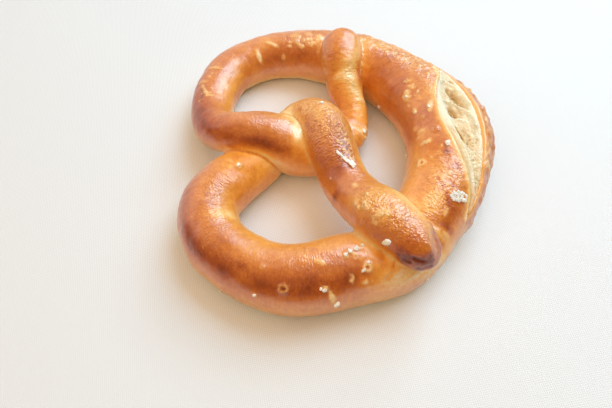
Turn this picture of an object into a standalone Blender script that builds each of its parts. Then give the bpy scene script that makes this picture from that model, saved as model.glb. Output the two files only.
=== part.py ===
"""A soft pretzel: one rope of lye dough, twisted once, with both arms pressed on to the belly.

Metres, +Z up. The slit belly faces -Y, the two loops lie to -X and +X of the twist, and the
pretzel rests flat at Z = 0 with the origin under the middle of its outline.
"""
import math

import bmesh
import bpy
from mathutils import Matrix, Vector

MM = 0.001

# The rope runs from the tip of one arm to the tip of the other. Each station is
# (x, y, height of the middle of the rope, radius of the rope), in millimetres.
FAR_ARM = (
    (43, -18.5, 24, 9.3),
    (35, -16.5, 22, 8.9),
    (25, -16, 14.5, 7.9),
    (15, -16.5, 9, 7.2),
)
UPPER_TWIST = (
    (5, -11, 7.5, 8),
    (-0.5, 2, 8.6, 11.2),
    (2, 14, 12.3, 12.8),
    (5, 24, 16.5, 11.6),
    (7.5, 33.5, 18.5, 9.8),
    (13, 42, 16.5, 9),
    (22.5, 46, 11.8, 9.2),
)
FAR_LOOP = (
    (34, 46, 9, 9.8),
    (47, 42, 8.4, 10.4),
    (58.5, 33, 8.5, 10.8),
    (63.5, 17, 9, 11),
    (61, 0, 9.6, 11.8),
)
BELLY = (
    (54.5, -14.5, 10.4, 13),
    (44.5, -28.5, 11, 13.8),
    (28.5, -41.5, 11.2, 14.8),
    (9, -50.5, 12, 16.8),
    (-12, -52.5, 12.8, 18.2),
    (-31, -44.5, 12.2, 16.3),
    (-46, -32.5, 11, 14.8),
)
NEAR_LOOP = (
    (-59, -16.5, 9.2, 13.8),
    (-61, 3, 10.6, 14),
    (-61, 22.5, 10.6, 13.7),
    (-53, 38.5, 10.2, 12.8),
    (-38, 51, 10, 12.6),
    (-21, 52.5, 9.8, 12.4),
    (-10, 42.5, 9.5, 11.9),
)
LOWER_TWIST = (
    (-1, 29, 8.5, 11),
    (8.5, 17, 10, 9.5),
    (11.5, 6, 16, 8.8),
    (3, -0.5, 21, 9.8),
)
NEAR_ARM = (
    (-12, -2, 20.5, 10.2),
    (-25, -3.5, 18.5, 9.6),
    (-38, -7.5, 20, 9.8),
    (-50.5, -13, 25, 10.9),
    (-62, -19.5, 26, 9),
)
ROUTE = FAR_ARM + UPPER_TWIST + FAR_LOOP + BELLY + NEAR_LOOP + LOWER_TWIST + NEAR_ARM

RING_PITCH = 3.6
ROPE_SIDES = 24
CAP_RINGS = 5

# The slit that the baker cuts along the belly and that the oven opens. Each station is
# (distance along the rope, turn outwards from its top in degrees, half of the opening).
SLIT = (
    (257, 36, 0),
    (264, 27, 3.4),
    (271, 17, 6.6),
    (279, 10.5, 8.4),
    (287, 9, 8.7),
    (293, 15, 8.1),
    (299, 24, 6.8),
    (305, 34, 5.4),
    (311, 46, 3.8),
    (317, 57, 1.9),
    (323, 66, 0),
)
SLIT_HOLLOW = 16.0
SLIT_SIDES = 72

BOARD = 300.0
BOARD_HEIGHT = 80.0

CRUST_COLOUR = (0.42, 0.155, 0.036, 1)
CRUST_ROUGHNESS = 0.34


def catmull_rom(before, start, end, after, share):
    """The point at share of the way from start to end, on the curve through all four."""
    return tuple(
        0.5
        * (
            2 * b
            + (c - a) * share
            + (2 * a - 5 * b + 4 * c - d) * share**2
            + (3 * b - a - 3 * c + d) * share**3
        )
        for a, b, c, d in zip(before, start, end, after)
    )


def centreline(route, pitch):
    """(place, radius) about every pitch along a smooth curve through the route."""
    ends = (route[0],) + route + (route[-1],)
    found = []
    for before, start, end, after in zip(ends, ends[1:], ends[2:], ends[3:]):
        steps = max(1, round(math.dist(start[:3], end[:3]) / pitch))
        for step in range(steps):
            x, y, z, radius = catmull_rom(before, start, end, after, step / steps)
            found.append((Vector((x, y, z)), radius))
    x, y, z, radius = route[-1]
    found.append((Vector((x, y, z)), radius))
    return found


def headings(places):
    """The way the rope runs at each place."""
    legs = [(b - a).normalized() for a, b in zip(places, places[1:])]
    inner = [(a + b).normalized() for a, b in zip(legs, legs[1:])]
    return [legs[0]] + inner + [legs[-1]]


def square_to(along):
    """The sideways and the upward direction across a rope that runs along."""
    side = Vector((0, 0, 1)).cross(along).normalized()
    return side, along.cross(side).normalized()


def cap(middle, outwards, radius):
    """The rings that round off an end, from the rope to its tip, as (place, radius)."""
    turns = (math.pi / 2 * i / (CAP_RINGS + 1) for i in range(1, CAP_RINGS + 1))
    return [(middle + radius * math.sin(a) * outwards, radius * math.cos(a)) for a in turns]


def tube(name, rings, sides):
    """A closed tube through rings, each given as (place, radius, way it runs)."""
    mesh = bmesh.new()
    rows = []
    for middle, radius, along in rings:
        side, up = square_to(along)
        turns = [2 * math.pi * i / sides for i in range(sides)]
        edge = [middle + radius * (math.sin(a) * side + math.cos(a) * up) for a in turns]
        rows.append([mesh.verts.new(MM * point) for point in edge])
    for a, b in zip(rows, rows[1:]):
        for i in range(sides):
            j = (i + 1) % sides
            mesh.faces.new((a[i], a[j], b[j], b[i]))
    mesh.faces.new(rows[0][::-1])
    mesh.faces.new(rows[-1])
    bmesh.ops.recalc_face_normals(mesh, faces=mesh.faces)
    data = bpy.data.meshes.new(name)
    mesh.to_mesh(data)
    mesh.free()
    made = bpy.data.objects.new(name, data)
    bpy.context.scene.collection.objects.link(made)
    return made


def rope(name):
    """The whole rope as one tube, which passes through itself where it crosses."""
    line = centreline(ROUTE, RING_PITCH)
    heads = headings([place for place, _ in line])
    first = cap(line[0][0], -heads[0], line[0][1])
    last = cap(line[-1][0], heads[-1], line[-1][1])
    rings = [(place, radius, heads[0]) for place, radius in reversed(first)]
    rings += [(place, radius, head) for (place, radius), head in zip(line, heads)]
    rings += [(place, radius, heads[-1]) for place, radius in last]
    return tube(name, rings, ROPE_SIDES)


def place_along(line, distance):
    """(place, radius, way it runs) at a distance along the rope."""
    gone = 0.0
    for (start, thick), (end, thin) in zip(line, line[1:]):
        leg = (end - start).length
        if gone + leg >= distance:
            share = (distance - gone) / leg
            head = (end - start).normalized()
            return start.lerp(end, share), thick + (thin - thick) * share, head
        gone += leg
    raise ValueError("the rope is shorter than that")


def slit_cutter(name):
    """The bar that opens the slit: it dips into the crust to the edges and no further."""
    line = centreline(ROUTE, 1.0)
    smooth = centreline(tuple((d, turn, half, 0) for d, turn, half in SLIT), 3.0)
    middles = []
    for (distance, turn, half), _ in smooth:
        place, radius, along = place_along(line, distance)
        side, up = square_to(along)
        lift = math.sqrt(radius**2 - half**2) + math.sqrt(SLIT_HOLLOW**2 - half**2)
        tilt = math.radians(turn)
        out = math.sin(tilt) * side + math.cos(tilt) * up
        middles.append(place + lift * out)
    rings = [(middle, SLIT_HOLLOW, head) for middle, head in zip(middles, headings(middles))]
    made = tube(name, rings, SLIT_SIDES)
    made.hide_render = True
    made.display_type = "WIRE"
    return made


def board(name):
    """The space over the board, which keeps what lies above the flat underside."""
    bpy.ops.mesh.primitive_cube_add(size=1, location=(0, 0, MM * BOARD_HEIGHT / 2))
    made = bpy.context.object
    made.name = name
    made.scale = (MM * BOARD, MM * BOARD, MM * BOARD_HEIGHT)
    bpy.ops.object.transform_apply(location=False, rotation=False, scale=True)
    made.hide_render = True
    made.display_type = "WIRE"
    return made


def centre(pieces):
    """Moves the pieces so that the origin is under the middle of the first one's outline."""
    corners = [vertex.co for vertex in pieces[0].data.vertices]
    middle = [(min(c[i] for c in corners) + max(c[i] for c in corners)) / 2 for i in (0, 1)]
    for piece in pieces:
        piece.data.transform(Matrix.Translation((-middle[0], -middle[1], 0)))


def boolean(piece, name, operation, other):
    """Cuts a piece with another, exactly."""
    cut = piece.modifiers.new(name, "BOOLEAN")
    cut.operation = operation
    cut.solver = "EXACT"
    cut.use_self = operation == "INTERSECT"
    cut.object = other


def crust():
    """The glossy brown that lye gives the dough."""
    made = bpy.data.materials.new("crust")
    made.use_nodes = True
    shader = made.node_tree.nodes["Principled BSDF"]
    shader.inputs["Base Color"].default_value = CRUST_COLOUR
    shader.inputs["Roughness"].default_value = CRUST_ROUGHNESS
    shader.inputs["Metallic"].default_value = 0.0
    made.diffuse_color = CRUST_COLOUR
    return made


def main():
    for old in list(bpy.data.objects):
        bpy.data.objects.remove(old)
    pretzel = rope("pretzel")
    slit = slit_cutter("slit_cutter")
    centre((pretzel, slit))
    boolean(pretzel, "flat_underside", "INTERSECT", board("above_board"))
    boolean(pretzel, "slit", "DIFFERENCE", slit)
    pretzel.data.materials.append(crust())
    pretzel.data.shade_smooth()
    pretzel.data.set_sharp_from_angle(angle=math.radians(50))


main()
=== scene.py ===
"""A soft pretzel on a pale table: the bread, the crumb in its slit, its blisters and its salt."""

import math
import random

import bpy
import numpy as np
from mathutils import Matrix, Vector, noise
from mathutils.bvhtree import BVHTree
from mathutils.kdtree import KDTree


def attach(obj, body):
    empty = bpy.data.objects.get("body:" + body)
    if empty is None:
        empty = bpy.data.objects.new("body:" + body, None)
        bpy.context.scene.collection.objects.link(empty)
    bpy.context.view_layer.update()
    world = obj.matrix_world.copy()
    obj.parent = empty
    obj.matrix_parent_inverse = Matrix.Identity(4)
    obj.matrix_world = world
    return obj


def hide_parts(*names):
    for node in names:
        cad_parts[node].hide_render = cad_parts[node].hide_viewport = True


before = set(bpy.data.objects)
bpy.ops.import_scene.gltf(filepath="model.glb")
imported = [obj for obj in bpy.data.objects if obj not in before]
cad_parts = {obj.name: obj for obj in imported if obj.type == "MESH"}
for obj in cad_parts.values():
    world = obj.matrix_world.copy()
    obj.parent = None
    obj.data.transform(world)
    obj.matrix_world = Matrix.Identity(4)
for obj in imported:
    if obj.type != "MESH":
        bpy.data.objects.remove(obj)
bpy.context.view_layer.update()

# ------------------------------------------------------------------ the rolled rope
# One rope of wheat dough, rolled thick in the middle for the belly and thin at both ends
# for the arms, looped, twisted once and pressed together. It bakes on its flat underside.
# Each station is (x, y, height of the middle, radius), in millimetres, from arm to arm.

MM = 0.001
PITCH = 1.0
ROUTE = (
    (43, -18.5, 24, 9.3),
    (35, -16.5, 22, 8.9),
    (25, -16, 14.5, 7.9),
    (15, -16.5, 9, 7.2),
    (5, -11, 7.5, 8),
    (-0.5, 2, 8.6, 11.2),
    (2, 14, 12.3, 12.8),
    (5, 24, 16.5, 11.6),
    (7.5, 33.5, 18.5, 9.8),
    (13, 42, 16.5, 9),
    (22.5, 46, 11.8, 9.2),
    (34, 46, 9, 9.8),
    (47, 42, 8.4, 10.4),
    (58.5, 33, 8.5, 10.8),
    (63.5, 17, 9, 11),
    (61, 0, 9.6, 11.8),
    (54.5, -14.5, 10.4, 13),
    (44.5, -28.5, 11, 13.8),
    (28.5, -41.5, 11.2, 14.8),
    (9, -50.5, 12, 16.8),
    (-12, -52.5, 12.8, 18.2),
    (-31, -44.5, 12.2, 16.3),
    (-46, -32.5, 11, 14.8),
    (-59, -16.5, 9.2, 13.8),
    (-61, 3, 10.6, 14),
    (-61, 22.5, 10.6, 13.7),
    (-53, 38.5, 10.2, 12.8),
    (-38, 51, 10, 12.6),
    (-21, 52.5, 9.8, 12.4),
    (-10, 42.5, 9.5, 11.9),
    (-1, 29, 8.5, 11),
    (8.5, 17, 10, 9.5),
    (11.5, 6, 16, 8.8),
    (3, -0.5, 21, 9.8),
    (-12, -2, 20.5, 10.2),
    (-25, -3.5, 18.5, 9.6),
    (-38, -7.5, 20, 9.8),
    (-50.5, -13, 25, 10.9),
    (-62, -19.5, 26, 9),
)
# How far the two ends reach past the first and last station, and how blunt they are.
FAR_TIP_REACH, FAR_TIP_ROUNDNESS = 8.2, 0.66
NEAR_TIP_REACH, NEAR_TIP_ROUNDNESS = 10.6, 1.0
# The size of the mesh's cells, and the share of its faces that is kept at the end.
VOXEL = 0.62 * MM
THINNED = 0.66


def catmull_rom(stations, pitch):
    """Rows about every pitch along the smooth curve through the stations."""
    ends = np.array((stations[0],) + tuple(stations) + (stations[-1],), float)
    rows = []
    for a, b, c, d in zip(ends, ends[1:], ends[2:], ends[3:]):
        steps = max(1, round(math.dist(b[:3], c[:3]) / pitch))
        for t in np.arange(steps) / steps:
            rows.append(
                0.5 * (2 * b + (c - a) * t)
                + 0.5 * (2 * a - 5 * b + 4 * c - d) * t**2
                + 0.5 * (3 * b - a - 3 * c + d) * t**3
            )
    return np.array(rows + [ends[-1]])


def unit(vectors):
    return vectors / np.linalg.norm(vectors, axis=-1, keepdims=True)


rows = catmull_rom(ROUTE, PITCH)
rope_middle, rope_radius = rows[:, :3].copy(), rows[:, 3].copy()
rope_along = unit(np.gradient(rope_middle, axis=0))
reach = rope_radius[:, None] * np.sqrt(1 - rope_along**2)
low, high = (rope_middle - reach).min(0), (rope_middle + reach).max(0)
rope_middle[:, :2] -= (low + high)[:2] / 2
rope_side = unit(np.cross((0, 0, 1), rope_along))
rope_up = np.cross(rope_along, rope_side)
legs = np.linalg.norm(np.diff(rope_middle, axis=0), axis=1)
rope_gone = np.concatenate(((0,), np.cumsum(legs)))


def tip_rows(middle, way, radius, length, roundness):
    """The rows that round off an end of the rope; a lower roundness makes it blunter."""
    turns = np.radians((15, 30, 44, 57, 69, 79, 86))
    places = middle + way * (length * np.sin(turns))[:, None]
    return np.column_stack((places, radius * np.cos(turns) ** roundness))


far_end = rope_middle[0], -rope_along[0], rope_radius[0]
near_end = rope_middle[-1], rope_along[-1], rope_radius[-1]
first = tip_rows(*far_end, FAR_TIP_REACH, FAR_TIP_ROUNDNESS)
last = tip_rows(*near_end, NEAR_TIP_REACH, NEAR_TIP_ROUNDNESS)
body = np.column_stack((rope_middle, rope_radius))
path = np.vstack((first[::-1], body, last))

bpy.ops.object.select_all(action="DESELECT")
bpy.ops.curve.primitive_nurbs_path_add()
bread = bpy.context.object
bread.name = "bread"
bread.data.splines.clear()
spline = bread.data.splines.new("POLY")
spline.points.add(len(path) - 1)
spline.points.foreach_set("co", np.column_stack((path[:, :3] * MM, np.ones(len(path)))).ravel())
spline.points.foreach_set("radius", path[:, 3])
bread.data.dimensions = "3D"
bread.data.twist_mode = "Z_UP"
bread.data.bevel_depth = MM
bread.data.bevel_resolution = 14
bread.data.use_fill_caps = True
bpy.ops.object.convert(target="MESH")
bread = bpy.context.object


def places(mesh):
    """The mesh's vertices, as rows."""
    found = np.empty(len(mesh.vertices) * 3, np.float32)
    mesh.vertices.foreach_get("co", found)
    return found.reshape(-1, 3).astype(float)


def put(mesh, rows):
    mesh.vertices.foreach_set("co", np.asarray(rows, np.float32).ravel())
    mesh.update()


def normals(mesh):
    found = np.empty(len(mesh.vertices) * 3, np.float32)
    mesh.vertex_normals.foreach_get("vector", found)
    return found.reshape(-1, 3).astype(float)


def finish_with(piece, kind, **settings):
    """Adds a modifier, sets it and applies it."""
    bpy.ops.object.select_all(action="DESELECT")
    piece.select_set(True)
    bpy.context.view_layer.objects.active = piece
    modifier = piece.modifiers.new(kind.lower(), kind)
    for name, value in settings.items():
        setattr(modifier, name, value)
    bpy.ops.object.modifier_apply(modifier=modifier.name)


at = places(bread.data)
at[:, 2] = np.maximum(at[:, 2], 0)
put(bread.data, at)
finish_with(bread, "REMESH", mode="VOXEL", voxel_size=VOXEL, adaptivity=0.0)
finish_with(bread, "SMOOTH", factor=0.5, iterations=8)


# ------------------------------------------------------------------ where things are on the rope
# Every place on the crust is told by how far it is along the rope and by its turn round
# it: 0 degrees on top, and outwards from the belly is a positive turn.

# Less than this far along the rope, two places are on the same strand.
SAME_STRAND = 42
# The gap that stands for no other strand near, and how many places are worked out at once.
NO_STRAND, AT_ONCE = 99, 4000


def rope_coordinates(at):
    """(distance, turn, radius, gap to the next strand) for places in millimetres."""
    distance, turn, radius, gap = (np.empty(len(at)) for _ in range(4))
    for start in range(0, len(at), AT_ONCE):
        part = at[start : start + AT_ONCE]
        outside = np.linalg.norm(part[:, None] - rope_middle[None], axis=2) - rope_radius
        near = outside.argmin(axis=1)
        off = part - rope_middle[near]
        step = np.clip((off * rope_along[near]).sum(1), -1, 1)
        rows = slice(start, start + len(part))
        distance[rows] = rope_gone[near] + step
        across = (off * rope_side[near]).sum(1)
        turn[rows] = np.degrees(np.arctan2(across, (off * rope_up[near]).sum(1)))
        radius[rows] = rope_radius[near]
        same = np.abs(rope_gone[None] - rope_gone[near][:, None]) < SAME_STRAND
        gap[rows] = np.where(same, NO_STRAND, outside).min(axis=1)
    return distance, turn, radius, gap


def along_rope(distance, values):
    """What the values of the rope's rows are at distances along it."""
    return np.stack([np.interp(distance, rope_gone, values[:, i]) for i in range(3)], -1)


def on_rope(distance, turn, out):
    """(place, way out) at a turn round the rope, out millimetres from its middle."""
    side, up = unit(along_rope(distance, rope_side)), unit(along_rope(distance, rope_up))
    angle = np.radians(turn)[..., None]
    way = np.sin(angle) * side + np.cos(angle) * up
    return along_rope(distance, rope_middle) + way * np.asarray(out)[..., None], way


def ripple(at, size, seed=0.0):
    """Smooth noise from -1 to 1 with lumps of about a size, and other lumps for each seed."""
    return np.array([noise.noise(Vector(p) / size + Vector((seed, 0, 0))) for p in at])


def smooth_step(low, high, value):
    share = np.clip((value - low) / (high - low), 0, 1)
    return share * share * (3 - 2 * share)


# ------------------------------------------------------------------ the slit
# Before baking the belly is cut once along its length. The oven opens the cut, and the
# skin curls back at its edges. Each station is (distance along the rope, turn outwards,
# half of the opening), in millimetres and degrees.

SLIT = (
    (257, 36, 0),
    (264, 27, 3.4),
    (271, 17, 6.6),
    (279, 10.5, 8.4),
    (287, 9, 8.7),
    (293, 15, 8.1),
    (299, 24, 6.8),
    (305, 34, 5.4),
    (311, 46, 3.8),
    (317, 57, 1.9),
    (323, 66, 0),
)
# The radius of the round bar that would fill the hollow, how much deeper the bread lies
# under the crumb, and how high the skin curls up at the edge.
SLIT_HOLLOW = 16.0
CRUMB_BED = 2.6
LIP_CURL = 0.22
slit_rows = catmull_rom([row + (0,) for row in SLIT], PITCH)


def slit_at(distance, radius):
    """(turn of its middle, half of its opening, how far out its hollow's bar is)."""
    turn = np.interp(distance, slit_rows[:, 0], slit_rows[:, 1])
    half = np.interp(distance, slit_rows[:, 0], slit_rows[:, 2], left=0, right=0)
    half = np.maximum(half, 0)
    lift = np.sqrt(radius**2 - half**2) + np.sqrt(SLIT_HOLLOW**2 - half**2)
    return turn, half, lift


def slit_floor(away, lift):
    """How far out from the rope's middle the hollow floor is, away degrees off its middle."""
    sine = lift * np.sin(np.radians(away))
    return lift * np.cos(np.radians(away)) - np.sqrt(np.maximum(SLIT_HOLLOW**2 - sine**2, 0))


at = places(bread.data) / MM
distance, turn, radius, gap = rope_coordinates(at)
round_it = np.radians(turn) * radius
slit_turn, slit_half, lift = slit_at(distance, radius)
from_slit = round_it - np.radians(slit_turn) * radius
past_lip = np.abs(from_slit) - slit_half
along_slit = (distance > SLIT[0][0]) & (distance < SLIT[-1][0])
# Inside the slit the skin sinks to the bed of the crumb, and at its lips it curls up.
sink = np.where(along_slit, smooth_step(0, 1.0, -past_lip), 0)
floor = slit_floor(turn - slit_turn, lift)
curl = LIP_CURL * np.exp(-(((past_lip - 0.6) / 0.8) ** 2))
curl *= smooth_step(0.5, 4, slit_half) * along_slit
way = unit(at - along_rope(distance, rope_middle))
at += way * (curl - (radius - floor + CRUMB_BED) * sink)[:, None]

# ------------------------------------------------------------------ blisters and flakes
# Steam lifts the lye skin into small pale blisters, and where it tears it leaves straw
# coloured flakes. The rings are blisters that have burst in the middle.

# (distance, turn, half length along the rope, half width round it, slant, height, paleness)
BLISTERS = (
    (14, -13, 1.0, 3.4, 20, 0.3, 0.75),
    (9.5, 15, 0.8, 2.2, 0, 0.25, 0.7),
    (12.5, 21, 0.8, 1.6, 0, 0.25, 0.6),
    (16.5, 4, 1.0, 2.0, 10, 0.25, 0.6),
    (28, 34, 1.0, 3.2, -5, 0.4, 0.65),
    (33, 8, 1.0, 2.6, 10, 0.25, 0.5),
    (37, 24, 0.9, 2.4, -10, 0.3, 0.5),
    (42, 48, 1.2, 3.2, 0, 0.4, 0.75),
    (126, -3, 0.9, 2.2, 10, 0.3, 0.7),
    (128.5, 9, 2.4, 1.0, 30, 0.4, 0.75),
    (132, 18, 2.6, 0.9, 30, 0.4, 0.7),
    (136, 27, 1.0, 2.4, 0, 0.35, 0.6),
    (145, 8, 0.9, 4.2, 5, 0.35, 0.65),
    (168.5, -41, 1.2, 3.4, 5, 0.5, 1.0),
    (183.5, -53, 1.2, 1.6, 0, 0.3, 0.6),
    (177.5, -18, 3.9, 0.9, -35, 0.4, 0.85),
    (191, -22, 2.3, 1.0, -25, 0.35, 0.7),
    (194, -31, 1.6, 1.2, 0, 0.35, 0.7),
    (196.5, -14, 3.0, 1.2, 15, 0.4, 0.8),
    (199.5, -23, 2.5, 1.2, 20, 0.35, 0.75),
    (202, -8, 1.4, 3.0, 0, 0.35, 0.75),
    (189, 2, 2.0, 2.2, 0, 0.2, 0.6),
    (196, 5, 1.6, 1.8, 0, 0.25, 0.65),
    (203, -30, 0.8, 3.6, 0, 0.25, 0.5),
    (265, -46, 3.0, 1.8, 20, 0.8, 0.85),
    (262.5, -41, 1.6, 1.8, 0, 0.6, 0.85),
    (262, -31, 2.4, 1.1, 15, 0.4, 0.7),
    (258.5, -27, 1.6, 1.1, 30, 0.4, 0.6),
    (275.5, -48, 1.8, 1.3, 0, 0.6, 0.85),
    (279, -28, 2.8, 1.2, -10, 0.6, 0.9),
    (277, -24, 1.4, 1.2, 0, 0.4, 0.7),
    (287, -58, 2.6, 1.2, 10, 0.4, 0.6),
    (291.3, -49, 1.8, 2.4, 20, 0.6, 0.75),
    (294, -53, 1.2, 1.6, 0, 0.4, 0.65),
    (298.3, -40, 1.3, 2.8, 5, 0.6, 0.95),
    (307, -26, 0.9, 1.0, 0, 0.4, 0.7),
    (308.5, -44, 1.6, 2.2, -20, 0.6, 0.8),
    (311.5, -46, 1.4, 1.2, 0, 0.5, 0.75),
    (283, -42, 1.6, 1.2, 0, 0.35, 0.55),
    (270, -52, 1.4, 1.0, 20, 0.35, 0.55),
    (568, -30, 1.6, 2.2, 20, 0.5, 0.75),
    (573, -24, 1.4, 1.8, 0, 0.45, 0.7),
    (563.5, -38, 1.2, 1.6, 0, 0.4, 0.65),
    (327, 26, 2.0, 1.0, 20, 0.3, 0.6),
    # This blister's paleness is partly painted highlight.
    (326.5, 4, 3.2, 3.0, 10, 0.5, 0.42),
    (335, 30, 1.0, 3.4, 0, 0.45, 0.6),
    (333.5, 48, 1.0, 2.6, 0, 0.4, 0.6),
    (352.5, 45, 3.2, 1.0, 30, 0.45, 0.9),
    (348.5, 60, 3.5, 1.0, 20, 0.5, 0.9),
    (345, 74, 3.0, 1.2, 10, 0.4, 0.85),
    (356, 40, 2.2, 0.9, 40, 0.3, 0.4),
    (368.5, 3, 1.4, 1.2, 0, 0.5, 0.7),
    (361, -4, 1.6, 2.2, 0, 0.4, 0.6),
    (368.5, 38, 0.8, 1.8, 0, 0.35, 0.6),
    (377.5, 3, 2.2, 1.0, -40, 0.35, 0.7),
    (381, -20, 0.6, 3.0, 0, 0.2, 0.35),
    (374, -24, 0.6, 3.4, 0, 0.25, 0.4),
    (385, -26, 0.8, 3.0, 0, 0.25, 0.4),
    (397, 11, 1.2, 1.2, 0, 0.4, 0.4),
    (397.5, 58, 0.6, 0.9, 0, 0.3, 0.7),
    (377.8, 43, 1.4, 1.0, -30, 0.4, 0.7),
    (376.2, 60, 0.9, 3.0, 5, 0.45, 0.85),
    (430, -30, 1.8, 4.5, 0, 0.0, 0.35),
    (460, -16, 1.3, 1.3, 0, 0.5, 0.85),
    (457, -9, 1.4, 0.8, 20, 0.3, 0.5),
    (459, 6, 0.9, 2.0, 0, 0.3, 0.5),
    (512.5, 11, 1.1, 1.8, 0, 0.5, 0.8),
    (556.5, -11, 2.4, 1.2, 0, 0.35, 0.7),
    (566, -43, 1.6, 0.9, -20, 0.35, 0.6),
    (568.5, -37, 1.6, 1.0, 20, 0.35, 0.65),
    (567, -27, 1.2, 1.4, 0, 0.3, 0.5),
    (571, -29, 1.3, 1.0, 10, 0.3, 0.5),
)
# (distance, turn, size, height, paleness)
BURST_RINGS = (
    (292.5, -28, 1.7, 0.45, 0.45),
    (310, -39, 2.1, 0.55, 0.85),
    (362.5, 27, 1.9, 0.55, 0.85),
    (389.5, 38, 2.0, 0.5, 0.5),
)
# Where the skin is covered in small ones: (from, to, first turn, last turn, how many, size).
FLECKED = (
    (221, 262, -2, 36, 80, 0.7),
    (262, 304, 46, 74, 60, 1.0),
    (254, 276, -38, -8, 26, 0.6),
    (300, 318, -22, 10, 40, 0.45),
    (525, 541, 4, 38, 80, 0.45),
    (564, 575, -46, -10, 30, 0.7),
    (186, 204, -34, 6, 30, 0.8),
    (2, 30, -10, 25, 22, 0.5),
    (355, 370, -10, 50, 14, 0.8),
    (120, 150, -6, 30, 18, 0.5),
    (95, 575, -150, 150, 90, 0.45),
)
pale = np.zeros(len(at))
rise = np.zeros(len(at))


def swell_up(distance_here, turn_here, long, wide, slant, height, paleness):
    """Lifts one blister on the crust and makes it pale."""
    along = distance - distance_here
    near = np.flatnonzero(np.abs(along) < 1.8 * max(long, wide))
    across = np.radians(turn[near] - turn_here) * radius[near]
    cosine, sine = math.cos(math.radians(slant)), math.sin(math.radians(slant))
    first = (along[near] * cosine + across * sine) / long
    second = (across * cosine - along[near] * sine) / wide
    out = np.sqrt(first**2 + second**2) * 0.85 + 0.3 * ripple(at[near], 1.1, 50)
    rise[near] += height * np.exp(-1.6 * np.maximum(out, 0) ** 2) * (out < 1.7)
    pale[near] = np.maximum(pale[near], paleness * smooth_step(1.5, 0.4, out))


for row in BLISTERS:
    swell_up(*row)
draw = random.Random(7)
for start, end, low_turn, high_turn, count, size in FLECKED:
    for _ in range(count):
        long = size * draw.uniform(0.6, 1.6)
        wide = size * draw.uniform(0.6, 1.6)
        place = draw.uniform(start, end), draw.uniform(low_turn, high_turn)
        swell_up(*place, long, wide, draw.uniform(-40, 40), 0.35 * size, draw.uniform(0.3, 0.85))
burst = np.zeros(len(at))
for distance_here, turn_here, size, height, paleness in BURST_RINGS:
    out = np.hypot(distance - distance_here, np.radians(turn - turn_here) * radius) / size
    rim = np.exp(-(((out - 0.62) / 0.36) ** 2))
    rise += height * rim
    pale = np.maximum(pale, paleness * rim)
    burst = np.maximum(burst, np.exp(-((out / 0.26) ** 2)))

# ------------------------------------------------------------------ the skin's shape
# The dough swells unevenly, the strands pinch where they are pressed together, and the
# lye skin wrinkles across the rope.

face = normals(bread.data)
creases = np.column_stack((distance, round_it / 3.2, np.zeros(len(at))))
swell = 0.35 * ripple(at, 13) + 0.20 * ripple(at, 5, 40) + 0.11 * ripple(at, 2.2, 60)
swell += 0.08 * ripple(creases, 2.0, 70) * smooth_step(-0.3, 0.5, ripple(at, 14, 75))
# The skin is lumpy on the slit's outer rim, and on the rope's outer side before the slit.
outer_rim = np.where(along_slit & (from_slit > 0), smooth_step(0.5, 3, past_lip), 0)
outer_rim *= smooth_step(16, 8, past_lip) * smooth_step(258, 266, distance)
swell += 0.62 * outer_rim * ripple(at, 2.6, 30) + 0.25 * outer_rim
back_rim = smooth_step(216, 224, distance) * smooth_step(270, 256, distance)
back_rim *= np.exp(-(((turn - 22) / 26) ** 2))
swell += 0.7 * back_rim * ripple(at, 2.3, 33)
# (distance, half length, how far out) of the necks and bulges the dough was left with.
NECKS = ((3.5, 5, 0.6), (12.5, 2.4, -0.7), (20, 4, 0.3), (39, 2.6, -0.5))
for distance_here, long, out in NECKS:
    swell += out * np.exp(-(((distance - distance_here) / long) ** 2))
# Where the far arm goes under the near one, its skin was drawn out to a ragged flap: its
# (distance, turn), half length in millimetres, half width in degrees and how far out it is.
FLAP, FLAP_LONG, FLAP_WIDE, FLAP_OUT = (40.5, 84), 4.8, 30, 2.1
flap = np.exp(-(((distance - FLAP[0]) / FLAP_LONG) ** 2) - ((turn - FLAP[1]) / FLAP_WIDE) ** 2)
flap *= 1 + 0.5 * ripple(at, 2.0, 44)
swell += FLAP_OUT * flap
pale = np.maximum(pale, 0.8 * smooth_step(0.3, 0.85, flap + 0.3 * ripple(at, 1.4, 48)))
# How deep the skin is pinched where another strand touches it, and how far off that fades.
PINCH_DEPTH, PINCH_REACH = 0.9, 1.1
pinch = PINCH_DEPTH * np.exp(-np.maximum(gap, 0) / PINCH_REACH)
free = 1 - sink
at += face * ((swell + rise) * free - pinch)[:, None]

# The skin has cracked in a few thin lines: (distance, turn) of both ends of each.
CRACKS = (
    ((316, 7), (316.8, 20)),
    ((308.7, 6), (309.8, 14)),
    ((316.2, -10), (319.2, 5)),
    ((320.3, 12), (324.7, 26)),
    ((326, -5), (324.6, 5)),
    ((328, 0), (326, 9)),
    ((352, 20), (354, 34)),
)
CRACK_WIDTH, CRACK_DEPTH = 0.5, 0.35


def off_line(distance, across, start, end):
    """How far places on the crust are from the straight line between two of them."""
    (d0, a0), (d1, a1) = start, end
    length = (d1 - d0) ** 2 + (a1 - a0) ** 2
    share = np.clip(((distance - d0) * (d1 - d0) + (across - a0) * (a1 - a0)) / length, 0, 1)
    return np.hypot(distance - d0 - share * (d1 - d0), across - a0 - share * (a1 - a0))


crack = np.zeros(len(at))
for row in CRACKS:
    start, end = ((place, np.radians(turned) * radius) for place, turned in row)
    away = off_line(distance, round_it, start, end)
    crack = np.maximum(crack, np.exp(-((away / CRACK_WIDTH) ** 2)))
crack *= 0.75 + 0.5 * ripple(at, 1.3, 52)
at -= face * (CRACK_DEPTH * crack)[:, None]

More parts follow.
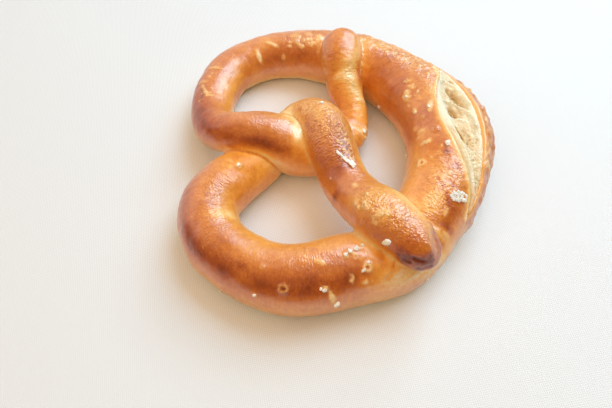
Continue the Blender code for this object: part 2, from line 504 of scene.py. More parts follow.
# The near arm's end is drawn out low down to a blunt beak, and its skin has torn there. The
# tears are told by how far they lie past the last station, to its side and over it.
TEARS = (
    ((3.5, -8.3, 1.6), (5.8, -7.4, 1.3)),
    ((6.5, -6.3, 3.3), (9.0, -4.1, 2.2)),
    ((7.6, -5.8, -1.4), (10.4, -2.2, -1.2)),
)
TEAR_WIDTH, TEAR_DEPTH = 0.7, 0.8
off = at - rope_middle[-1]
past, aside, above = off @ rope_along[-1], off @ rope_side[-1], off @ rope_up[-1]
near_tip = (distance > 570) & (past > -6)
# The beak is drawn out low down, and the tip's shoulder is held back.
low_down = smooth_step(2, -5, above)
shoulder = smooth_step(-1, 4, above) * smooth_step(-1, 5, aside)
drawn = 1.8 * low_down * smooth_step(1, 7, past) - 3.6 * shoulder * smooth_step(0, 9, past)
at += rope_along[-1] * (drawn * near_tip)[:, None]
tear = np.zeros(len(at))
local = np.column_stack((past, aside, above))
ragged = 0.4 * ripple(local, 1.6, 3)
for start, end in TEARS:
    start, end = np.array(start, float), np.array(end, float)
    share = np.clip((local - start) @ (end - start) / ((end - start) @ (end - start)), 0, 1)
    away = np.linalg.norm(local - start - share[:, None] * (end - start), axis=1) + ragged
    tear = np.maximum(tear, np.exp(-((away / TEAR_WIDTH) ** 2)) * near_tip)
at -= face * (TEAR_DEPTH * tear)[:, None]
at[:, 2] = np.maximum(at[:, 2], 0)
put(bread.data, at * MM)

# The mesh is thinned where the skin is smooth. What was worked out for each place goes along
# with the place that is left nearest to it.
dense = KDTree(len(at))
for i, place in enumerate(at):
    dense.insert(place, i)
dense.balance()
finish_with(bread, "DECIMATE", ratio=THINNED)
at = places(bread.data) / MM
at[:, 2] = np.maximum(at[:, 2], 0)
put(bread.data, at * MM)
left = np.array([dense.find(place)[1] for place in at])
worked_out = distance, turn, radius, gap, round_it, from_slit, past_lip, along_slit, free
distance, turn, radius, gap, round_it, from_slit, past_lip, along_slit, free = (
    values[left] for values in worked_out
)
worked_out = pale, burst, outer_rim, crack, tear, past, above, near_tip
pale, burst, outer_rim, crack, tear, past, above, near_tip = (
    values[left] for values in worked_out
)

# ------------------------------------------------------------------ its crust
# Lye browns the crust: mahogany on top, golden low on the sides and pale in the creases.
# Each row of a list is (distance, turn, half length, half width round the rope, how much).

# Where the crust is browner, or paler than the rest; a few rows paint shade or a highlight
# instead.
BROWNING_AND_PAINTED_LIGHT = (
    (83, 54, 11, 3.0, 0.34),
    (80, 40, 10, 3.0, 0.08),
    # Painted shade in the notch where the far loop's end meets.
    (94, 76, 2.2, 1.6, 0.3),
    # Partly browner crust, partly painted shade on the far loop's outer left side, which is
    # turned from the window.
    (110, 34, 14, 7.0, 0.36),
    (133, 50, 14, 4.0, 0.16),
    (128, 17, 5, 1.2, 0.25),
    (14, 58, 6, 2.6, 0.35),
    (185, -52, 22, 4.5, 0.2),
    (168, -62, 12, 4.0, 0.12),
    (262, -68, 42, 4.0, 0.2),
    (246, -34, 13, 5.0, 0.14),
    (284, -30, 12, 4.0, 0.10),
    (236, -12, 8, 3.0, 0.04),
    (380, 34, 16, 5.2, 0.34),
    (369, 42, 3, 3.0, 0.16),
    (397, 38, 4, 4.0, 0.14),
    (415, 40, 12, 4.5, 0.30),
    (404, 22, 2, 1.8, 0.2),
    (404, 34, 2.5, 4.0, -0.12),
    (425, 52, 8, 3.6, 0.22),
    (440, 45, 12, 5.0, 0.14),
    (536, -48, 13, 5.0, 0.20),
    (551, -68, 1.6, 3.0, 0.42),
    (543.5, -12, 3.4, 4.0, 0.22),
    (533, 22, 7, 4.0, 0.30),
    (573, -66, 11, 3.6, 0.18),
    (588, -45, 6, 6.0, 0.30),
    (303.5, -8, 1.4, 1.3, 0.4),
    (325, 40, 5, 2.6, 0.10),
    (71.5, 2, 2.2, 8.0, -0.4),
    (76, -45, 4, 6.0, -0.35),
    (499, 5, 4, 16.0, -0.26),
    # The next four rows pale the crust where a highlight lies: painted highlight.
    (515, -4, 11, 8.0, -0.22),
    (575, 4, 9, 6.0, -0.10),
    (322, -2, 12, 5.0, -0.12),
    (270, -16, 8, 3.0, -0.14),
    (240, 6, 18, 4.0, -0.12),
    (14, -9, 2.6, 4.0, -0.3),
    (12, 22, 4, 4.0, -0.28),
    # Painted highlight: the far arm is paled where the window should shine on it.
    (20, 12, 7, 4.0, -0.30),
    (38, 40, 8, 5.0, -0.10),
    (33, 55, 12, 4.0, -0.10),
    (8, 50, 6, 3.0, -0.25),
    (26, 36, 6, 3.0, -0.18),
    (540, 55, 16, 3.5, -0.16),
    (576, 48, 10, 4.2, -0.32),
    (312, -80, 16, 6.0, -0.20),
    (335, 34, 2.2, 9.0, -0.12),
    (332.5, 12, 2.2, 4.0, 0.12),
    # Painted shade in the crease under the near arm's tip.
    (357, 9, 2.4, 3.4, 0.42),
    (583, -40, 4, 4.0, -0.10),
    (375, 25, 4, 3.0, -0.10),
    (428, -50, 4, 3.0, -0.16),
    (516, -62, 7, 3.0, 0.16),
    (350, 58, 7, 3.6, -0.34),
    # Painted highlight on the belly's end by the slit.
    (326.5, 4, 4.5, 4.0, -0.26),
    (322, 19, 1.8, 2.4, 0.12),
    (341, 68, 4, 3.0, -0.3),
    (315, -55, 18, 8.0, -0.14),
    (331, 46, 1.6, 4.0, 0.32),
    (337, 52, 1.4, 3.0, 0.28),
    (325, 30, 4, 3.5, 0.14),
    # Painted shade on the far loop's inner side, which faces down into the hole.
    (140, -88, 14, 4.0, 0.22),
    (304, -31, 5, 5.0, 0.12),
    (358, 20, 5, 9.0, -0.24),
    (363, -40, 5, 8.0, -0.12),
    (400, -45, 40, 5.5, -0.12),
    (429, -30, 3.4, 6.0, -0.26),
    (140, -60, 18, 5.5, -0.18),
    (84, 86, 16, 3.0, -0.2),
    (566, -30, 6, 4.0, -0.16),
)
# How quickly a patch fades towards its edge.
PATCH_FADE = 0.9


def patched(values, rows, share=1):
    """The values with the soft patches of the rows added to them."""
    for distance_here, turn_here, long, wide, amount in rows:
        along = (distance - distance_here) / long
        across = np.radians(turn - turn_here) * radius / wide
        values = values + share * amount * np.exp(-(along**2 + across**2) * PATCH_FADE)
    return values


up_facing = normals(bread.data)[:, 2]
brown_and_painted_light = 0.435 + 0.10 * up_facing + 0.12 * ripple(at, 17, 80) + 0.08 * ripple(at, 6, 90)
brown_and_painted_light += 0.05 * ripple(at, 2.2, 95)
brown_and_painted_light = patched(brown_and_painted_light, BROWNING_AND_PAINTED_LIGHT)
# It is pale low down where it leans in and near a crease, and dark in burst blisters.
# Where strands were pressed together, a thin line of painted shade darkens the crease.
brown_and_painted_light -= 0.34 * smooth_step(8, 1, at[:, 2]) * smooth_step(0.4, -0.3, up_facing)
brown_and_painted_light -= 0.42 * np.exp(-np.maximum(gap, 0) / 2.0)
brown_and_painted_light += 0.35 * burst
seam_shade_reach = (distance < 318) | ((distance > 360) & (distance < 545))
brown_and_painted_light += 0.55 * seam_shade_reach * np.exp(-((np.maximum(gap, 0) / 0.45) ** 2))
# The slit's lips are pale, its outer rim is dark, and so is the beak; tears and cracks
# are darkened with painted shade in their grooves.
lip = np.maximum(past_lip, 0) / np.where(from_slit < 0, 1.8, 0.9)
brown_and_painted_light -= np.where(along_slit, np.where(from_slit < 0, 0.5, 0.14) * np.exp(-(lip**2)), 0)
brown_and_painted_light += 0.18 * outer_rim + 0.55 * tear + 0.22 * crack
off_end = near_tip * smooth_step(-2, 3, past)
mottle = 1 + 0.9 * ripple(at, 1.5, 21)
brown_and_painted_light += 0.28 * mottle * off_end * smooth_step(6.5, 2.5, above) * smooth_step(-10, -4, above)
# What rests on the tray bakes plain and golden.
resting = smooth_step(0.6, 0.0, at[:, 2])
underside = 0.36 + 0.18 * ripple(at, 7, 20) + 0.12 * ripple(at, 2, 25)
brown_and_painted_light = brown_and_painted_light * (1 - resting) + underside * resting
brown_and_painted_light = np.clip(brown_and_painted_light, 0, 1)


def paint(piece, name, values):
    """Keeps a number or a vector for each vertex, which a material reads by name."""
    kind = "FLOAT" if np.ndim(values) == 1 else "FLOAT_VECTOR"
    layer = piece.data.attributes.new(name, kind, "POINT")
    layer.data.foreach_set("value" if kind == "FLOAT" else "vector", np.ravel(values))


lip_pale = np.where(from_slit < 0, 0.9, 0.45) * np.exp(-((np.maximum(past_lip, 0) / 0.9) ** 2))
lip_pale *= along_slit * smooth_step(257, 262, distance) * smooth_step(322, 314, distance)
pale = np.maximum(pale, lip_pale)
# The crust's tone, with its painted shade and painted highlights, goes to the material.
paint(bread, "brown_and_painted_light", brown_and_painted_light)
paint(bread, "pale", np.clip(pale * free, 0, 1))
paint(bread, "rope", np.column_stack((distance, round_it, radius)))

# Where the skin is covered in fine bubbles and wrinkles; elsewhere it is smooth.
WRINKLED = (
    (517, -10, 14, 9.0, 1.5),
    (532, 18, 9, 5.0, 0.9),
    (574, -8, 12, 7.5, 1.3),
    (321, 2, 15, 6.5, 1.1),
    (244, 2, 20, 4.5, 1.3),
    (348, 62, 8, 4.0, 0.6),
    (437, -22, 15, 5.0, 1.0),
    (270, -16, 8, 3.0, 0.4),
    (141, -25, 18, 5.0, 0.32),
    (82, -8, 9, 6.0, 0.55),
    (195, -14, 11, 5.0, 0.50),
    (17, 12, 16, 6.0, 0.40),
    (380, -10, 12, 5.0, 0.40),
    (400, 20, 30, 8.0, 0.14),
)
wrinkled = patched(0.15 + 0.09 * ripple(at, 15, 33), WRINKLED)
paint(bread, "wrinkled", np.clip(wrinkled, 0.03, 2))

# Where the lye took less and the skin is matt.
MATT = (
    (2, 0, 6, 9.0, 0.35),
    (461, -20, 9, 8.0, 0.8),
    (470, -20, 8, 8.0, 0.7),
    (36, 14, 6, 5.0, 0.7),
    (382, 36, 14, 4.5, 0.5),
    (326, 40, 5, 4.0, 0.5),
    (112, 24, 14, 9.0, 0.6),
    (304, -31, 8, 4.0, 0.6),
    (588, -60, 9, 8.0, 0.6),
    (340, 60, 8, 4.0, 0.4),
    (322, 19, 2.8, 3.6, 0.65),
)
glossy = patched(1 - 0.5 * np.clip(pale, 0, 1) * free, MATT, -1)
# Round one grain of salt the matt skin is damp and shines.
glossy += 0.5 * np.exp(-((distance - 460.5) ** 2 + (np.radians(turn + 17) * radius) ** 2) / 1.6)
paint(bread, "glossy", np.clip(glossy, 0.1, 1))

crust = bpy.data.materials.new("crust")
crust.use_nodes = True
nodes, links = crust.node_tree.nodes, crust.node_tree.links
shader = nodes["Principled BSDF"]


def read(nodes, name):
    made = nodes.new("ShaderNodeAttribute")
    made.attribute_name = name
    return made


def sums(nodes, links, kind, first, second, third=None):
    """A Math node of a kind, with each of its inputs a socket or a number."""
    made = nodes.new("ShaderNodeMath")
    made.operation = kind
    for socket, value in zip(made.inputs, (first, second, third)):
        if value is None:
            continue
        if isinstance(value, (int, float)):
            socket.default_value = value
        else:
            links.new(value, socket)
    return made.outputs["Value"]


def colours(nodes, links, amount, stops):
    """A colour ramp over an amount."""
    made = nodes.new("ShaderNodeValToRGB")
    for i, (place, colour) in enumerate(stops):
        stop = made.color_ramp.elements[i] if i < 2 else made.color_ramp.elements.new(place)
        stop.position = place
        stop.color = tuple(colour) + (1,)
    links.new(amount, made.inputs["Fac"])
    return made.outputs["Color"]


def grain(nodes, links, vector, scale, detail=3.0, roughness=0.55):
    """Noise over a vector, with so many lumps to a unit."""
    made = nodes.new("ShaderNodeTexNoise")
    made.inputs["Scale"].default_value = scale
    made.inputs["Detail"].default_value = detail
    made.inputs["Roughness"].default_value = roughness
    links.new(vector, made.inputs["Vector"])
    return made.outputs["Fac"]


def stirred(nodes, links, amount, noisy, strength):
    """An amount that a noise moves up and down by half of the strength."""
    centred = sums(nodes, links, "MULTIPLY_ADD", noisy, strength, -strength / 2)
    return sums(nodes, links, "ADD", amount, centred)


def eased(nodes, links, amount, low, high):
    """From 0 to 1 as an amount goes from low to high, gently at both ends."""
    made = nodes.new("ShaderNodeMapRange")
    made.interpolation_type = "SMOOTHSTEP"
    made.inputs["From Min"].default_value = low
    made.inputs["From Max"].default_value = high
    links.new(amount, made.inputs["Value"])
    return made.outputs["Result"]


def laid_over(nodes, links, share, under, colour):
    """A colour laid over what is under it, by a share."""
    made = nodes.new("ShaderNodeMix")
    made.data_type = "RGBA"
    links.new(share, made.inputs["Factor"])
    links.new(under, made.inputs["A"])
    made.inputs["B"].default_value = colour + (1,)
    return made.outputs["Result"]


def bumps(nodes, links, height, deep, strength=1.0):
    """The normal of a surface with bumps so many metres deep."""
    made = nodes.new("ShaderNodeBump")
    made.inputs["Strength"].default_value = strength
    made.inputs["Distance"].default_value = deep
    links.new(height, made.inputs["Height"])
    return made.outputs["Normal"]


# The wrinkles follow the rope, and the other lumps lie as they do on any dough.
solid = nodes.new("ShaderNodeTexCoord").outputs["Object"]
rope_place = read(nodes, "rope").outputs["Vector"]
stretch = nodes.new("ShaderNodeMapping")
stretch.inputs["Scale"].default_value = (1.5, 0.38, 0.0)
links.new(rope_place, stretch.inputs["Vector"])
wrinkles = grain(nodes, links, stretch.outputs["Vector"], 1.0, 1.5, 0.5)
fine = grain(nodes, links, solid, 1250, 1, 0.5)
patchy = grain(nodes, links, solid, 420, 4, 0.6)
flake_edge = grain(nodes, links, solid, 1100, 3, 0.7)

domes = nodes.new("ShaderNodeTexVoronoi")
domes.feature = "SMOOTH_F1"
domes.inputs["Scale"].default_value = 1050
domes.inputs["Smoothness"].default_value = 0.45
links.new(solid, domes.inputs["Vector"])

tone = read(nodes, "brown_and_painted_light").outputs["Fac"]
for noisy, strength in ((patchy, 0.22), (fine, 0.16), (wrinkles, 0.16)):
    tone = stirred(nodes, links, tone, noisy, strength)
# The bubbles are paler on top and browner in the dips between them: partly their own colour,
# partly painted highlight and shade.
bubble_tone_and_shade = sums(nodes, links, "SUBTRACT", domes.outputs["Distance"], 0.42)
bubble_tone_and_shade = sums(nodes, links, "MULTIPLY", bubble_tone_and_shade, read(nodes, "wrinkled").outputs["Fac"])
tone = sums(nodes, links, "ADD", tone, sums(nodes, links, "MULTIPLY", bubble_tone_and_shade, 0.28))
skin = colours(
    nodes,
    links,
    tone,
    (
        (0.0, (0.98, 0.78, 0.40)),
        (0.18, (0.98, 0.57, 0.16)),
        (0.36, (0.90, 0.365, 0.048)),
        (0.56, (0.68, 0.195, 0.016)),
        (0.78, (0.44, 0.085, 0.005)),
        (1.0, (0.19, 0.028, 0.003)),
    ),
)
# Flakes are golden at their ragged edges and the colour of straw further in.
flaked = stirred(nodes, links, read(nodes, "pale").outputs["Fac"], flake_edge, 0.9)
cover = eased(nodes, links, flaked, 0.12, 0.9)
golden = laid_over(nodes, links, cover, skin, (0.90, 0.50, 0.17))
straw = eased(nodes, links, flaked, 0.6, 1.15)
strawed = laid_over(nodes, links, straw, golden, (0.95, 0.74, 0.42))
links.new(strawed, shader.inputs["Base Color"])

# Fine domes stand on it in broad patches, and over them lies a thin glossy coat.
rough = sums(nodes, links, "MULTIPLY_ADD", patchy, 0.24, 0.36)
rough = sums(nodes, links, "MULTIPLY_ADD", cover, 0.22, rough)
links.new(rough, shader.inputs["Roughness"])
domed = sums(nodes, links, "MULTIPLY_ADD", domes.outputs["Distance"], -0.42, 0.42)
domed = sums(nodes, links, "MULTIPLY_ADD", fine, 1.1, domed)
broad = grain(nodes, links, solid, 70, 1, 0.5)
bubbly = nodes.new("ShaderNodeMapRange")
bubbly.inputs["From Min"].default_value = 0.42
bubbly.inputs["From Max"].default_value = 0.62
bubbly.inputs["To Min"].default_value = 0.25
bubbly.inputs["To Max"].default_value = 1.0
links.new(broad, bubbly.inputs["Value"])
bubbles = sums(nodes, links, "MULTIPLY", domed, bubbly.outputs["Result"])
relief = sums(nodes, links, "MULTIPLY_ADD", wrinkles, 0.95, bubbles)
relief = sums(nodes, links, "MULTIPLY", relief, read(nodes, "wrinkled").outputs["Fac"])
relief_normal = bumps(nodes, links, relief, 0.45 * MM)
links.new(relief_normal, shader.inputs["Normal"])
links.new(relief_normal, shader.inputs["Coat Normal"])
shader.inputs["Specular IOR Level"].default_value = 0.22
links.new(read(nodes, "glossy").outputs["Fac"], shader.inputs["Coat Weight"])
shader.inputs["Coat Roughness"].default_value = 0.33
shader.inputs["Coat IOR"].default_value = 2.05
bread.data.materials.clear()
bread.data.materials.append(crust)
bread.data.shade_smooth()

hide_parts("pretzel")
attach(bread, "root")

# ------------------------------------------------------------------ the crumb in the slit
# The dough that the oven pushed out through the slit: soft and pale, torn into webs with
# hollows between them, and with a thick rolled ridge on the side of the hole. Places on it
# are (distance along the rope, millimetres across the slit, outwards).

RIDGE = ((258, -1.2), (263, -3.6), (268, -6.2), (274, -7.6), (282, -7.2), (288, -6.2))
RIDGE += ((293, -4.8), (298, -3.3), (304, -1.6), (309, -0.8), (315, -0.3), (322, 0.2))
# The line of each web, with its half width and height.
WEBS = (
    (((266.5, -5.5), (266.8, -2), (268.3, 1), (270.5, 3.6), (274, 5.8), (280, 7.0)), 0.6, 0.8),
    (((280, 7.0), (287, 6.6), (294, 5.6)), 0.7, 0.7),
    (((277, -7), (277.6, -3), (279.2, 0.5), (281.5, 3.6), (284, 5.8), (290, 6.3)), 0.65, 1.1),
    (((286.4, -5), (286, -1), (287, 3.5)), 0.8, 0.6),
    (((272.5, -1.5), (274.8, -1.2), (276.8, 0.5)), 0.5, 0.5),
    (((290, 6.3), (297, 5.6), (304, 4.4)), 0.6, 0.5),
)
# (distance, across, half length, half width, slant, depth) of the torn hollows.
HOLLOWS = (
    (267.4, 1.9, 0.9, 1.9, -25, 0.9),
    (276.2, 2.4, 6.4, 2.7, 27, 1.9),
    (271.8, -0.8, 1.8, 1.4, 0, 0.9),
    (282.8, -2.6, 3.3, 2.6, 20, 1.8),
    (283.5, 0.9, 2.4, 2.4, 20, 0.9),
    (293.6, -2.2, 4.0, 1.3, 18, 1.6),
    (294, 0.4, 5.5, 2.6, 15, 0.7),
    (311.5, 1.0, 2.8, 0.9, 5, 0.8),
)
CRUMB_ROWS, CRUMB_COLUMNS = 340, 92
CRUMB_THICKNESS = 0.9 * MM

bpy.ops.object.select_all(action="DESELECT")
bpy.ops.mesh.primitive_grid_add(x_subdivisions=CRUMB_ROWS, y_subdivisions=CRUMB_COLUMNS, size=2)
crumb = bpy.context.object
crumb.name = "crumb"
flat = places(crumb.data)
slit_from, slit_to = SLIT[0][0] + 0.5, SLIT[-1][0] - 0.5
distance = slit_from + (flat[:, 0] + 1) / 2 * (slit_to - slit_from)
radius = np.interp(distance, rope_gone, rope_radius)
slit_turn, slit_half, lift = slit_at(distance, radius)
spread = flat[:, 1]
across = spread * (slit_half + 0.4)
away = np.degrees(across / radius)
floor = slit_floor(away, lift)
rolled = np.column_stack((distance, across, 0 * distance))

# The ridge is thick in the slit's upper half and thin in its lower half.
ridge_across = np.interp(distance, *zip(*RIDGE))
beside = across - ridge_across
low_half = smooth_step(285, 295, distance)
width = np.where(beside < 0, 2.8 - 2.1 * low_half, 1.7 - 1.0 * low_half)
ridge = np.exp(-((beside / width) ** 2)) * smooth_step(257, 265, distance)
height = (1.5 - 0.6 * low_half - 0.3 * smooth_step(304, 314, distance)) * ridge
web = np.zeros(len(distance))
for line, wide, tall in WEBS:
    legs = [off_line(distance, across, start, end) for start, end in zip(line, line[1:])]
    nearest = np.min(legs, axis=0) + 0.35 * ripple(rolled, 1.8, 5)
    strand = np.exp(-((nearest / wide) ** 2))
    height += tall * strand * (1 - ridge)
    web = np.maximum(web, strand * min(1, tall / 0.8))
torn = np.zeros(len(distance))
wobble = 0.35 * ripple(rolled, 2.4, 9)
for d0, a0, long, wide, slant, deep in HOLLOWS:
    cosine, sine = math.cos(math.radians(slant)), math.sin(math.radians(slant))
    first = ((distance - d0) * cosine + (across - a0) * sine) / long
    second = ((across - a0) * cosine - (distance - d0) * sine) / wide
    pit = smooth_step(1.25, 0.45, np.hypot(first, second) + wobble)
    height -= deep * pit * (1 - 0.8 * web) * (1 - ridge)
    torn = np.maximum(torn, pit * min(1, deep / 1.6) * (1 - 0.8 * web) * (1 - ridge))
# Outwards of the ridge the crumb is rough, with pores, and drawn out in streaks low down.
pores = np.array([noise.voronoi(Vector(p) / 1.5)[0][0] for p in rolled])
hollow_side = smooth_step(0, 1, beside / width)
rough_part = hollow_side * (0.35 + 0.65 * smooth_step(288, 298, distance))
rough_part = np.maximum(rough_part, torn)
height -= 0.42 * smooth_step(0.45, 0.1, pores) * rough_part
streaks = np.column_stack((rolled @ (0.83, 0.55, 0), rolled @ (-0.55, 0.83, 0) / 4, 0 * distance))
height += 0.22 * ripple(streaks, 0.9, 18) * smooth_step(290, 300, distance) * hollow_side
height += 0.22 * ripple(rolled, 2.6, 12) + 0.22 * ripple(rolled, 1.0, 14) * (0.3 + rough_part)
height += 0.10 * ripple(rolled, 0.6, 16) * (1 + rough_part)
# It slopes down to the inner lip, and its edges and ends go in under the skin.
from_edge = slit_half - np.abs(across)
height *= np.where(across < 0, 0.3 + 0.7 * smooth_step(-0.2, 2.0, from_edge), 1)
inner_edge = smooth_step(-0.1, 0.4, -across - slit_half)
edge = np.where(across < 0, inner_edge, smooth_step(-0.9, 0.4, across - slit_half))
ends = smooth_step(2.5, 0, np.minimum(distance - slit_from, slit_to - distance))
height = height * (1 - edge) * (1 - ends) - np.where(across < 0, 0.2, 0.95) * edge - 0.9 * ends
out = floor + height
surface, way = on_rope(distance, slit_turn + away, out)
put(crumb.data, surface * MM)
if np.mean(np.sum(normals(crumb.data) * way, axis=1)) < 0:
    bpy.ops.object.mode_set(mode="EDIT")
    bpy.ops.mesh.select_all(action="SELECT")
    bpy.ops.mesh.flip_normals()
    bpy.ops.object.mode_set(mode="OBJECT")

# It is toasted in the hollows and glazed near the skin and at both ends.
toast = 0.23 + 0.50 * torn - 0.32 * np.maximum(ridge, web) + 0.14 * ripple(rolled, 3.5, 31)
toast += 0.22 * smooth_step(0.45, 0.1, pores) * rough_part
toast += 0.10 * ripple(streaks, 0.9, 18) * low_half
rolled_edge = smooth_step(0.1, 0.5, from_edge) * smooth_step(1.8, 0.9, from_edge) * (across > 0)
toast -= 0.30 * rolled_edge * smooth_step(306, 300, distance)
paint(crumb, "toast", np.clip(toast, 0, 1))
band = np.where(beside < 0, smooth_step(0.7, 2.6, -beside), 0) * smooth_step(286, 296, distance)
glaze = 0.6 * band + np.where(across > 0, 0.5, 0.3) * smooth_step(0.7, 0.0, from_edge)
glaze += 0.8 * smooth_step(309, 318, distance) + 0.3 * smooth_step(264, 259, distance)
paint(crumb, "glaze", np.clip(glaze + 0.2 * ripple(streaks, 0.9, 18) * (glaze > 0.05), 0, 1))
finish_with(crumb, "SOLIDIFY", thickness=CRUMB_THICKNESS, offset=-1.0)

soft = bpy.data.materials.new("crumb")
soft.use_nodes = True
nodes, links = soft.node_tree.nodes, soft.node_tree.links
shader = nodes["Principled BSDF"]
solid = nodes.new("ShaderNodeTexCoord").outputs["Object"]
fine = grain(nodes, links, solid, 1700, 3, 0.65)
cells = grain(nodes, links, solid, 700, 3, 0.6)
tone = stirred(nodes, links, read(nodes, "toast").outputs["Fac"], fine, 0.44)
tone = stirred(nodes, links, tone, cells, 0.34)
inside = colours(
    nodes,
    links,
    tone,
    (
        (0.0, (1.0, 0.88, 0.66)),
        (0.30, (0.84, 0.63, 0.37)),
        (0.52, (0.70, 0.48, 0.24)),
        (0.75, (0.56, 0.34, 0.12)),
        (1.0, (0.44, 0.20, 0.05)),
    ),
)
glaze = read(nodes, "glaze").outputs["Fac"]
links.new(laid_over(nodes, links, glaze, inside, (0.85, 0.47, 0.17)), shader.inputs["Base Color"])
links.new(sums(nodes, links, "MULTIPLY_ADD", cells, 0.2, 0.5), shader.inputs["Roughness"])
links.new(bumps(nodes, links, fine, 0.5 * MM), shader.inputs["Normal"])
shader.inputs["Subsurface Weight"].default_value = 0.3
shader.inputs["Subsurface Radius"].default_value = (1.0, 0.6, 0.3)
shader.inputs["Subsurface Scale"].default_value = 0.0012
crumb.data.materials.append(soft)
crumb.data.shade_smooth()
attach(crumb, "root")

# ------------------------------------------------------------------ the salt
# A few coarse grains are left on the crust: irregular lumps of white salt with rounded
# corners, baked on. They are put where a line towards the rope's middle meets the crust.

# (distance, turn, length, width, spin)
GRAINS = (
    (301, -9, 2.2, 1.8, 20),
    (364.5, -3, 2.2, 1.7, 30),
    (366.8, -1, 1.9, 1.5, 80),
    (368.5, 3, 1.5, 1.3, 10),
    (362.5, -7, 1.4, 1.1, 120),
    (375, 74, 2.1, 1.7, 40),
    (378, 45, 1.5, 1.1, 15),
    (379, 42, 1.1, 0.9, 70),
    (362, 20, 1.3, 1.1, 45),
    (364, 30, 1.6, 1.2, 20),
    (397.5, 58, 1.2, 1.0, 25),
    (535, -2, 2.6, 1.1, 21),
    (536.8, 3, 2.6, 1.3, 28),
    (539, 8, 3.2, 1.2, 21),
    (541.3, 13.5, 3.0, 1.5, 24),
    (543.4, 17.5, 3.4, 2.6, 10),
    (579.5, -64, 2.9, 2.2, 20),
    (460, -16, 1.6, 1.3, 0),
    (513, 11, 1.5, 1.2, 35),
    (279, -29, 1.7, 1.1, 10),
    (276.5, -48, 1.3, 1.1, 60),
    (264, -45, 1.3, 1.0, 25),
    (41, 62, 2.0, 1.6, 40),
    (42.6, 86, 2.0, 1.6, 100),
    (30, 96, 1.5, 1.2, 30),
    (152, 100, 1.7, 1.3, 15),
    (214, 62, 1.6, 1.3, 70),
    (240, 84, 1.8, 1.4, 130),
    (280, 92, 1.6, 1.2, 20),
    (345, 96, 1.7, 1.4, 65),
    (410, 98, 1.5, 1.2, 105),
    (490, 100, 1.5, 1.3, 50),
)
# The share of a grain's height that is baked in, and how far out the lines start.
SUNK = 0.3
OUTSIDE = 32.0
# A clump of small grains that baked together: (distance, turn), its half length, its half
# width, the number of grains and the rope's radius under it.
CLUMP, CLUMP_LONG, CLUMP_WIDE, CLUMP_COUNT, CLUMP_RADIUS = (319.3, 32), 3.0, 2.9, 44, 14.5

bread_shape = BVHTree.FromObject(bread, bpy.context.evaluated_depsgraph_get())
draw = random.Random(11)
pieces = []
clump = []
for i in range(CLUMP_COUNT):
    way_round, from_middle = draw.uniform(0, 360), math.sqrt(draw.random())
    along = CLUMP_LONG * from_middle * math.cos(math.radians(way_round))
    across = CLUMP_WIDE * from_middle * math.sin(math.radians(way_round)) + 0.5 * along
    size = draw.uniform(0.75, 1.45)
    place = CLUMP[0] + 0.75 * along, CLUMP[1] - math.degrees(across / CLUMP_RADIUS)
    clump.append((*place, size * 1.15, size, draw.uniform(0, 180)))
for distance_here, turn_here, long, wide, spin in (*GRAINS, *clump):
    far, way = on_rope(distance_here, turn_here, OUTSIDE)
    place, lean, *_ = bread_shape.ray_cast(Vector(far) * MM, -Vector(way))
    if place is None:
        continue
    bpy.ops.object.select_all(action="DESELECT")
    bpy.ops.mesh.primitive_ico_sphere_add(subdivisions=3, radius=0.5)
    grain_piece = bpy.context.object
    shape = places(grain_piece.data)
    # The ball is made boxy and uneven, cut to size, sunk a little and stood on the crust.
    seed = draw.uniform(0, 50)
    boxy = np.sign(shape) * np.abs(shape * 2) ** 0.72 / 2
    boxy *= 1 + 0.55 * ripple(shape, 0.5, seed)[:, None]
    tall = 0.62 * wide * draw.uniform(0.85, 1.15)
    boxy *= (long, wide, tall)
    boxy[:, 2] += tall * (0.5 - SUNK)
    ahead, behind = (on_rope(distance_here + step, turn_here, 9.0)[0] for step in (1, -1))
    along = Vector(ahead) - Vector(behind)
    first = (along - lean * along.dot(lean)).normalized()
    second = lean.cross(first)
    turned = math.radians(spin)
    first, second = (
        first * math.cos(turned) + second * math.sin(turned),
        second * math.cos(turned) - first * math.sin(turned),
    )
    stand = np.array((first, second, lean))
    put(grain_piece.data, np.array(place) + boxy @ stand * MM)
    pieces.append(grain_piece)

bpy.ops.object.select_all(action="DESELECT")
for grain_piece in pieces:
    grain_piece.select_set(True)
bpy.context.view_layer.objects.active = pieces[0]
bpy.ops.object.join()
salt = bpy.context.object
salt.name = "salt"
bpy.ops.object.select_all(action="DESELECT")

white = bpy.data.materials.new("salt")
white.use_nodes = True
nodes, links = white.node_tree.nodes, white.node_tree.links
shader = nodes["Principled BSDF"]
solid = nodes.new("ShaderNodeTexCoord").outputs["Object"]
fine = grain(nodes, links, solid, 1300, 3, 0.6)
tints = ((0.25, (0.86, 0.72, 0.52)), (0.5, (0.93, 0.87, 0.76)), (0.75, (0.97, 0.95, 0.90)))
links.new(colours(nodes, links, fine, tints), shader.inputs["Base Color"])
links.new(sums(nodes, links, "MULTIPLY_ADD", fine, 0.3, 0.3), shader.inputs["Roughness"])
links.new(bumps(nodes, links, fine, 0.2 * MM, 0.5), shader.inputs["Normal"])
shader.inputs["Subsurface Weight"].default_value = 0.35
shader.inputs["Subsurface Radius"].default_value = (1.0, 0.8, 0.6)
shader.inputs["Subsurface Scale"].default_value = 0.0008
salt.data.materials.clear()
salt.data.materials.append(white)
salt.data.shade_smooth()
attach(salt, "root")

# ------------------------------------------------------------------ table, light and camera
# A plain pale table in a dim warm room with a pale backdrop. A wide soft window stands behind
# and to the right. The crust mirrors a pale wall on the left, and a soft warm panel above
# lights it without a mirror image.

TABLE_SIZE = 3
LIT_PLACE = (0, 0, 0.01)
CAMERA_PLACE = (-0.14391, 0.02784, 0.190)
LOOK_DOWN = math.radians(57)
LOOK_TURN = math.radians(6)
CAMERA_ROLL = math.radians(-5.88)
LENS, SENSOR_WIDTH = 30.79, 36

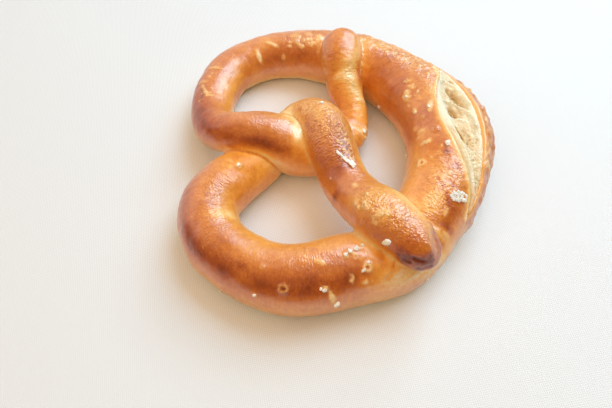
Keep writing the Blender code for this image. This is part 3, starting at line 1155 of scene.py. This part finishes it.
bpy.ops.mesh.primitive_plane_add(size=TABLE_SIZE, location=(0, 0, 0))
table = bpy.context.object
table.name = "table"
cloth = bpy.data.materials.new("table")
cloth.use_nodes = True
nodes, links = cloth.node_tree.nodes, cloth.node_tree.links
shader = nodes["Principled BSDF"]
solid = nodes.new("ShaderNodeTexCoord").outputs["Object"]
threads = []
for lay in ("X", "Y"):
    weave = nodes.new("ShaderNodeTexWave")
    weave.bands_direction = lay
    weave.inputs["Scale"].default_value = 430
    weave.inputs["Distortion"].default_value = 2.0
    weave.inputs["Detail"].default_value = 1.0
    weave.inputs["Detail Scale"].default_value = 0.6
    links.new(solid, weave.inputs["Vector"])
    threads.append(weave.outputs["Fac"])
canvas = sums(nodes, links, "MAXIMUM", *threads)
weft = ((0.0, (0.66, 0.66, 0.67)), (1.0, (0.80, 0.80, 0.815)))
links.new(colours(nodes, links, canvas, weft), shader.inputs["Base Color"])
shader.inputs["Roughness"].default_value = 0.9
links.new(bumps(nodes, links, canvas, 0.15 * MM, 0.35), shader.inputs["Normal"])
table.data.materials.append(cloth)


def soft_light(name, place, size, power, colour):
    """An oblong soft light at a place, turned towards the lit place."""
    lamp = bpy.data.lights.new(name, "AREA")
    lamp.shape = "RECTANGLE"
    lamp.size, lamp.size_y = size
    lamp.energy = power
    lamp.color = colour
    made = bpy.data.objects.new(name, lamp)
    bpy.context.scene.collection.objects.link(made)
    made.location = place
    towards = Vector(LIT_PLACE) - Vector(place)
    made.rotation_euler = towards.to_track_quat("-Z", "Y").to_euler()
    return made


soft_light("window", (0.372, -0.531, 0.695), (0.84, 0.74), 11.6, (0.59, 0.82, 1))
wall = soft_light("wall", (1.1, 0.6, 0.62), (2.2, 1.2), 7.5, (0.84, 0.88, 0.96))
wall.visible_diffuse = False
panel = soft_light("panel", (-0.2, 0.3, 1.2), (2.3, 2.3), 24, (1, 0.77, 0.52))
panel.visible_glossy = False
world = bpy.data.worlds.new("room")
world.use_nodes = True
nodes, links = world.node_tree.nodes, world.node_tree.links
dim = nodes["Background"]
dim.inputs["Color"].default_value = (1, 0.72, 0.48, 1)
dim.inputs["Strength"].default_value = 0.03
backdrop = nodes.new("ShaderNodeBackground")
backdrop.inputs["Color"].default_value = (0.80, 0.82, 0.83, 1)
backdrop.inputs["Strength"].default_value = 1.0
seen = nodes.new("ShaderNodeMixShader")
links.new(nodes.new("ShaderNodeLightPath").outputs["Is Camera Ray"], seen.inputs["Fac"])
links.new(dim.outputs["Background"], seen.inputs[1])
links.new(backdrop.outputs["Background"], seen.inputs[2])
links.new(seen.outputs["Shader"], nodes["World Output"].inputs["Surface"])
bpy.context.scene.world = world

# The camera stands beside the pretzel, with the belly on its right, and looks down on it.
ahead = Vector((math.cos(LOOK_TURN), -math.sin(LOOK_TURN), 0))
right = Vector((-math.sin(LOOK_TURN), -math.cos(LOOK_TURN), 0))
view = math.cos(LOOK_DOWN) * ahead - math.sin(LOOK_DOWN) * Vector((0, 0, 1))
top = math.sin(LOOK_DOWN) * ahead + math.cos(LOOK_DOWN) * Vector((0, 0, 1))
across = math.cos(CAMERA_ROLL) * right + math.sin(CAMERA_ROLL) * top
upright = math.cos(CAMERA_ROLL) * top - math.sin(CAMERA_ROLL) * right
lens = bpy.data.cameras.new("camera")
lens.sensor_width = SENSOR_WIDTH
lens.lens = LENS
lens.clip_start = 0.01
camera = bpy.data.objects.new("camera", lens)
bpy.context.scene.collection.objects.link(camera)
turned = Matrix((across, upright, -view)).transposed().to_4x4()
camera.matrix_world = Matrix.Translation(CAMERA_PLACE) @ turned
bpy.context.scene.camera = camera
bpy.context.scene.view_settings.view_transform = "Standard"
